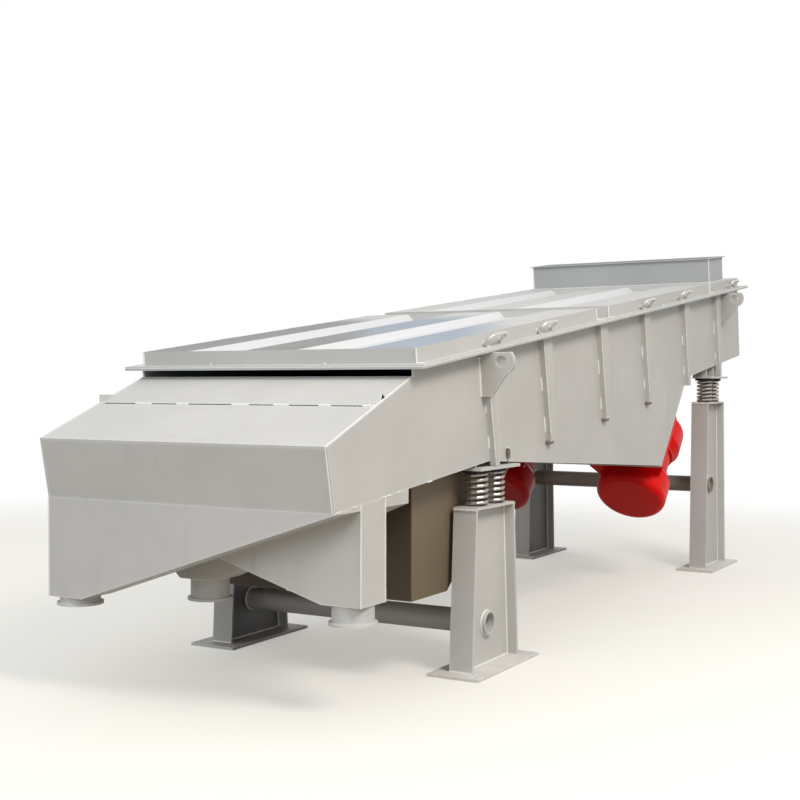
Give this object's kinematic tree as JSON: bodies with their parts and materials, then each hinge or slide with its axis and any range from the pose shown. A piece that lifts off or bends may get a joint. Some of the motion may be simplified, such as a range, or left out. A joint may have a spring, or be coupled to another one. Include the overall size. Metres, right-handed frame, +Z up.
{
  "type": "inclined linear vibrating screen",
  "caption": "Covered linear vibrating screen on coil springs and tapered posts, with vibrating motors beneath, a feed box at the high end and flanged spouts at the low end.",
  "frame": {"origin": "on the floor under the middle of the part's box", "axes": "+Z up, +Y toward the feed end, -Y toward the discharge end, X across"},
  "size_m": [1.534, 4.8902, 1.9274],
  "materials": {
    "box_grey": "warm light grey machine paint, satin",
    "lid_grey": "light grey machine paint, satin",
    "tube_grey": "mid grey paint in shade",
    "spring_steel": "bare spring steel",
    "seal_rubber": "grey seal strip",
    "motor_red": "red paint, semi-gloss",
    "deck_steel": "woven wire in frames"
  },
  "bodies": {
    "root": {"base_plate_front_right": "box_grey", "base_plate_front_left": "box_grey", "base_plate_rear_right": "box_grey", "base_plate_rear_left": "box_grey", "post_front_right": "box_grey", "post_front_left": "box_grey", "post_rear_right": "box_grey", "post_rear_left": "box_grey", "cross_tube_front": "tube_grey", "cross_tube_rear": "tube_grey", "springs_front_right": "spring_steel", "springs_front_left": "spring_steel", "springs_rear_right": "spring_steel", "springs_rear_left": "spring_steel", "spring_bracket_front_right": "box_grey", "spring_bracket_front_left": "box_grey", "spring_bracket_rear_right": "box_grey", "spring_bracket_rear_left": "box_grey", "side_plate_right": "box_grey", "side_plate_left": "box_grey", "stiffeners_right": "box_grey", "stiffeners_left": "box_grey", "lifting_lugs": "box_grey", "rear_wall": "box_grey", "under_pan": "box_grey", "screen_decks": "deck_steel", "box_flange": "box_grey", "lid_seal": "seal_rubber", "front_lid": "lid_grey", "middle_lid": "lid_grey", "inlet_cover": "lid_grey", "feed_box": "lid_grey", "lid_handles": "lid_grey", "motor_seat": "box_grey", "motor_right": "motor_red", "motor_left": "motor_red", "hood_upper_plate": "box_grey", "hood_lower_plate": "box_grey", "hood_front_plate": "box_grey", "chute_1": "box_grey", "chute_2": "box_grey", "chute_3": "box_grey", "chute_4": "box_grey", "spout_1": "box_grey", "spout_2": "box_grey", "spout_3": "box_grey", "spout_4": "box_grey"}
  },
  "joints": []
}
